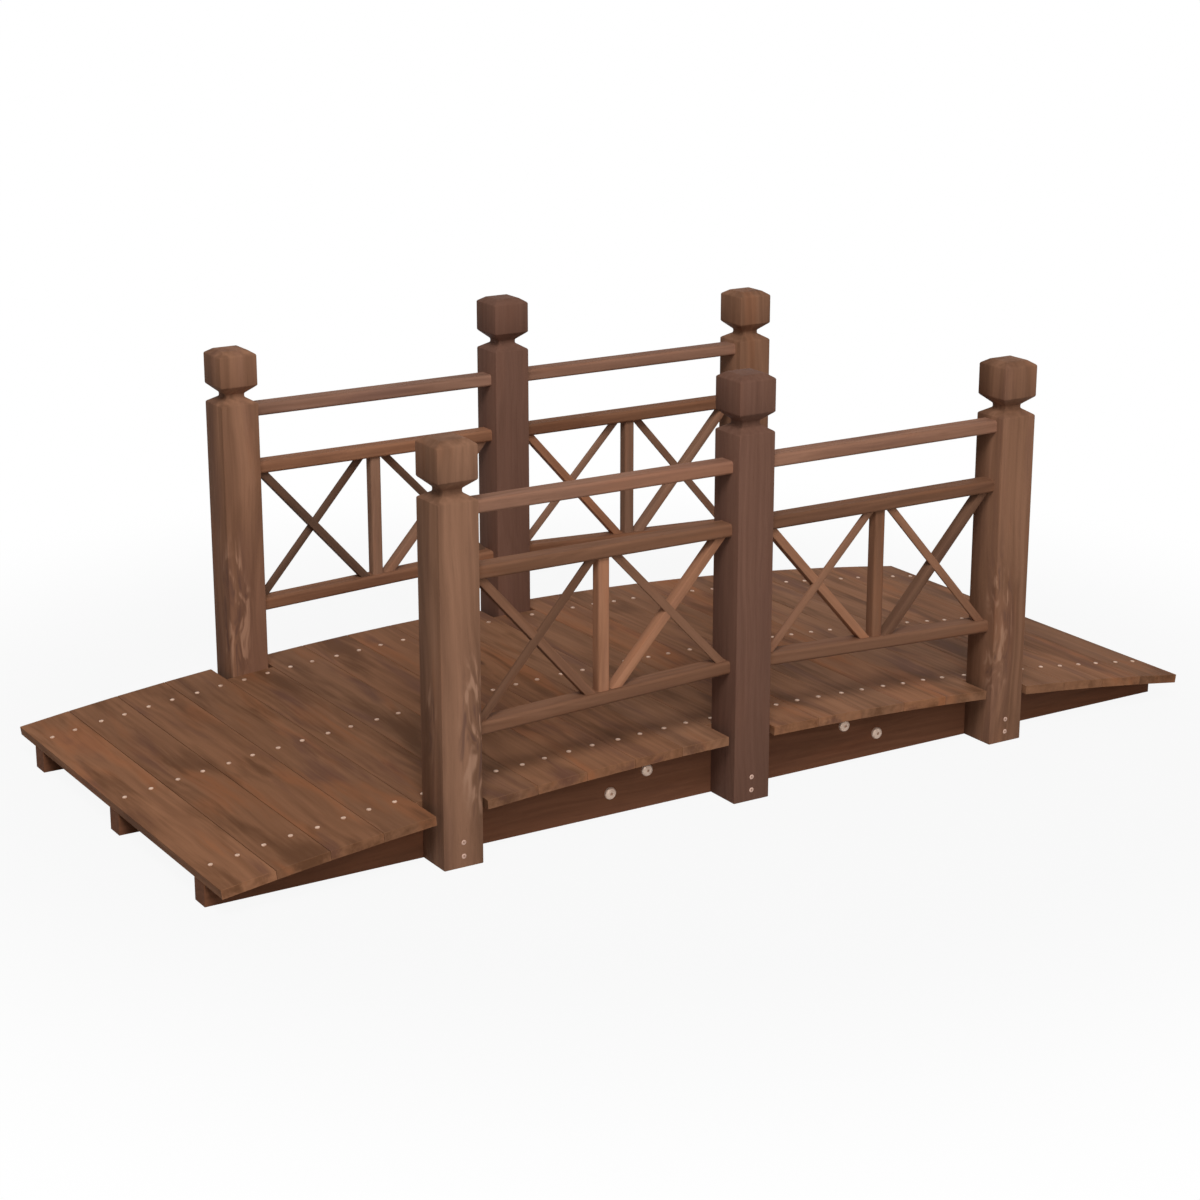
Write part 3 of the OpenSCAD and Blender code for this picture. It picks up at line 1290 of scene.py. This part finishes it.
@dataclass
class Fixings:
    """The nails in the deck, the screws in the posts and the bolts in the stringers.

    A screw has a crossed recess and a bolt a six-sided socket, and a share is one of the head's radius.
    """

    nail: Head = Head(0.0031, 0.0014, ((0.00035, 0.72),), base=0.00105, sides=12, soft_degrees=50.0)
    nail_lift: float = 0.0007
    nail_offset: float = 0.01725
    nail_stray: tuple[float, float] = (0.0012, 0.0015)
    nail_rows: tuple[tuple[str, float], ...] = (("near", -0.261), ("middle", 0.0), ("far", 0.261))
    screw: Head = Head(0.0033, 0.0016, ((0.00025, 0.86),), base=0.0016, sides=20, soft_degrees=30.0)
    screw_heights: tuple[float, ...] = (0.015, 0.033)
    slot_length_share: float = 0.9
    slot_width_share: float = 0.22
    slot_depth: float = 0.0010
    slot_height: float = 0.0019
    slot_degrees: tuple[float, ...] = (20.0, 110.0)
    bolt: Head = Head(0.0083, 0.0022, ((0.0011, 0.94), (0.0009, 0.88), (0.0006, 0.82)),
                      base=0.0004, sides=28, soft_degrees=40.0)
    bolt_spots: tuple[tuple[float, float], ...] = ((-0.184, 0.030), (-0.128, 0.051),
                                                   (0.190, 0.052), (0.246, 0.031))
    socket_share: float = 0.26
    socket_depth: float = 0.0040
    socket_sides: int = 6

    def slot(self, degrees: float) -> bpy.types.Object:
        """Model the cutter of one slot of a screw's crossed recess.

        Args:
            degrees: The slot's turn about the screw.

        Returns:
            The cutter.
        """
        size = (self.screw.radius * self.slot_length_share, self.screw.radius * self.slot_width_share,
                self.slot_depth)
        cutter = Bench.block("slot", size)
        Bench.place(cutter, (0.0, 0.0, self.slot_height), (0.0, 0.0, math.radians(degrees)))
        return cutter

    def socket(self) -> bpy.types.Object:
        """Model the cutter of a bolt's socket.

        Returns:
            The cutter.
        """
        radius = self.bolt.radius * self.socket_share
        cutter = Bench.disc("socket", radius, self.socket_depth, self.socket_sides)
        Bench.place(cutter, (0.0, 0.0, self.bolt.depth))
        return cutter

    def finish(self, made: bpy.types.Object, steel: Steel) -> None:
        """Plate a joined piece and tie it to the frame."""
        dress(made, steel.material(made.name + "_plate"))
        mount(made, "fasteners")

    def nail_deck(self, arc: DeckArc) -> None:
        """Drive two nails through each board into each stringer.

        Args:
            arc: The deck's curve.
        """
        model = self.nail.model("nail")
        lift = Vector((0.0, 0.0, self.nail_lift))
        stray_x, stray_y = self.nail_stray
        for row, across in self.nail_rows:
            places = []
            for board in range(1, arc.boards + 1):
                for way in (-1, 1):
                    draw = random.Random(f"nail_{row}_{board}_{way}")
                    offset = way * self.nail_offset + draw.uniform(-stray_x, stray_x)
                    point, tilt = arc.on_board(board, offset, across + draw.uniform(-stray_y, stray_y))
                    places.append((point + lift, (0.0, tilt, 0.0)))
            self.finish(Bench.copies(model, f"{row}_row_nails", places), NAIL_STEEL)
        bpy.data.objects.remove(model)

    def screw_posts(self, spots: Sequence[str]) -> None:
        """Drive two screws into the outer face of each post.

        Args:
            spots: Where the posts of a side stand.
        """
        model = self.screw.model("screw", *(self.slot(degrees) for degrees in self.slot_degrees))
        for side, outward in SIDES:
            places = []
            for spot in spots:
                node = f"{side}_{spot}_post"
                for height in self.screw_heights:
                    places.append(((middle(node).x, outer_face(node, outward), height),
                                   (-outward * math.pi / 2, 0.0, 0.0)))
            self.finish(Bench.copies(model, f"{side}_post_screws", places), SCREW_STEEL)
        bpy.data.objects.remove(model)

    def bolt_stringers(self) -> None:
        """Set the bolt heads against the outer faces of the outer stringers."""
        model = self.bolt.model("bolt", self.socket())
        for side, outward in SIDES:
            face = outer_face(f"{side}_stringer", outward)
            places = [((x, face, z), (-outward * math.pi / 2, 0.0, 0.0)) for x, z in self.bolt_spots]
            self.finish(Bench.copies(model, f"{side}_stringer_bolts", places), BOLT_STEEL)
        bpy.data.objects.remove(model)

    def build(self, arc: DeckArc, post_spots: Sequence[str]) -> None:
        """Set all the fixings.

        Args:
            arc: The deck's curve.
            post_spots: Where the posts of a side stand.
        """
        self.nail_deck(arc)
        self.screw_posts(post_spots)
        self.bolt_stringers()


@dataclass(frozen=True)
class Softbox:
    """A square lamp of soft light, which mirrors show or don't show."""

    name: str
    where: Triple
    aim: Triple
    side: float
    power: float
    mirrored: bool = True

    def place(self) -> None:
        """Hang the lamp and point it at its aim."""
        Bench.clear()
        turn = (Vector(self.aim) - Vector(self.where)).to_track_quat("-Z", "Y").to_euler()
        bpy.ops.object.light_add(type="AREA", location=self.where, rotation=turn)
        lamp = bpy.context.object
        lamp.name = self.name
        lamp.data.shape = "SQUARE"
        lamp.data.size = self.side
        lamp.data.energy = self.power
        lamp.visible_glossy = self.mirrored


@dataclass
class Studio:
    """The white floor, the light and the camera.

    The floor's glow makes it white to the camera and rises to full white past the shadow's reach.
    """

    floor_side: float = 80.0
    floor_shade: Rgb = (0.36, 0.36, 0.36)
    floor_glow: float = 0.92
    shadow_reach: Step = (0.75, 1.5)
    sky_level: float = 0.13
    lens: float = 79.137
    sensor: float = 36.0
    eye: Triple = (-1.8708, -2.9701, 1.2506)
    yaw: float = 31.864
    pitch: float = 16.843
    lamps: tuple[Softbox, ...] = (
        Softbox("key_softbox", (-2.36, -3.93, 5.28), (0.0, 0.0, 0.1), side=2.5, power=286.0),
        Softbox("front_softbox", (-1.2, -4.4, 1.9), (0.0, 0.0, 0.25), side=2.4, power=66.0),
        Softbox("back_softbox", (3.4, 3.4, 1.8), (0.0, 0.0, 0.2), side=2.8, power=54.0, mirrored=False),
    )

    def seen(self, graph: ShaderGraph) -> Value:
        """Tell rays that show a surface from rays that only light one.

        Args:
            graph: The tree that asks.

        Returns:
            1 for camera, mirror and glass rays, and 0 for the rest.
        """
        path = graph.node("LightPath")
        camera, mirror, glass = (Value(graph, path.outputs[f"Is {kind} Ray"])
                                 for kind in ("Camera", "Glossy", "Transmission"))
        return graph.math("MAXIMUM", graph.math("MAXIMUM", camera, mirror), glass)

    def lay_floor(self) -> None:
        """Lay a white floor that keeps a faint shadow."""
        Bench.clear()
        bpy.ops.mesh.primitive_plane_add(size=self.floor_side, location=(0.0, 0.0, 0.0))
        floor = Bench.named("floor")
        graph, material = ShaderGraph.of_material("white_floor")
        away = graph.measure("LENGTH", graph.node("TexCoord").outputs["Object"])
        white = graph.ease(away, *self.shadow_reach, self.floor_glow, 1.0)
        matt = graph.node("BsdfDiffuse", None, {"Color": self.floor_shade})
        glow = graph.node("Emission", None, {"Color": WHITE, "Strength": 1.0})
        graph.surface(graph.node("MixShader", None, {0: self.seen(graph) * white,
                                                     1: matt.outputs[0], 2: glow.outputs[0]}))
        dress(floor, material)

    def light(self) -> None:
        """Set a white sky of soft light and hang the lamps."""
        world = bpy.data.worlds.new("studio")
        bpy.context.scene.world = world
        world.use_nodes = True
        graph = ShaderGraph(world.node_tree)
        level = self.seen(graph) * (1.0 - self.sky_level) + self.sky_level
        graph.surface(graph.node("Background", None, {"Color": WHITE, "Strength": level}), "World")
        for lamp in self.lamps:
            lamp.place()

    def set_camera(self) -> None:
        """Stand the camera where the photograph was taken."""
        Bench.clear()
        turn = (math.radians(90 - self.pitch), 0.0, -math.radians(self.yaw))
        bpy.ops.object.camera_add(location=self.eye, rotation=turn)
        camera = bpy.context.object
        camera.name = "camera"
        camera.data.lens = self.lens
        camera.data.sensor_width = self.sensor
        bpy.context.scene.camera = camera

    def build(self) -> None:
        """Set up the studio."""
        bpy.context.scene.view_settings.view_transform = "Standard"
        self.lay_floor()
        self.light()
        self.set_camera()


def main() -> None:
    """Dress the frame, add the fixings and set up the studio."""
    logging.basicConfig(level=logging.INFO, format="%(name)s: %(message)s")
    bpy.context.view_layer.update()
    arc = DeckArc()
    posts = Posts()
    Deck(arc).dress()
    posts.build()
    Railings().build()
    Fixings().build(arc, posts.spots)
    Studio().build()


if __name__ == "__main__":
    main()
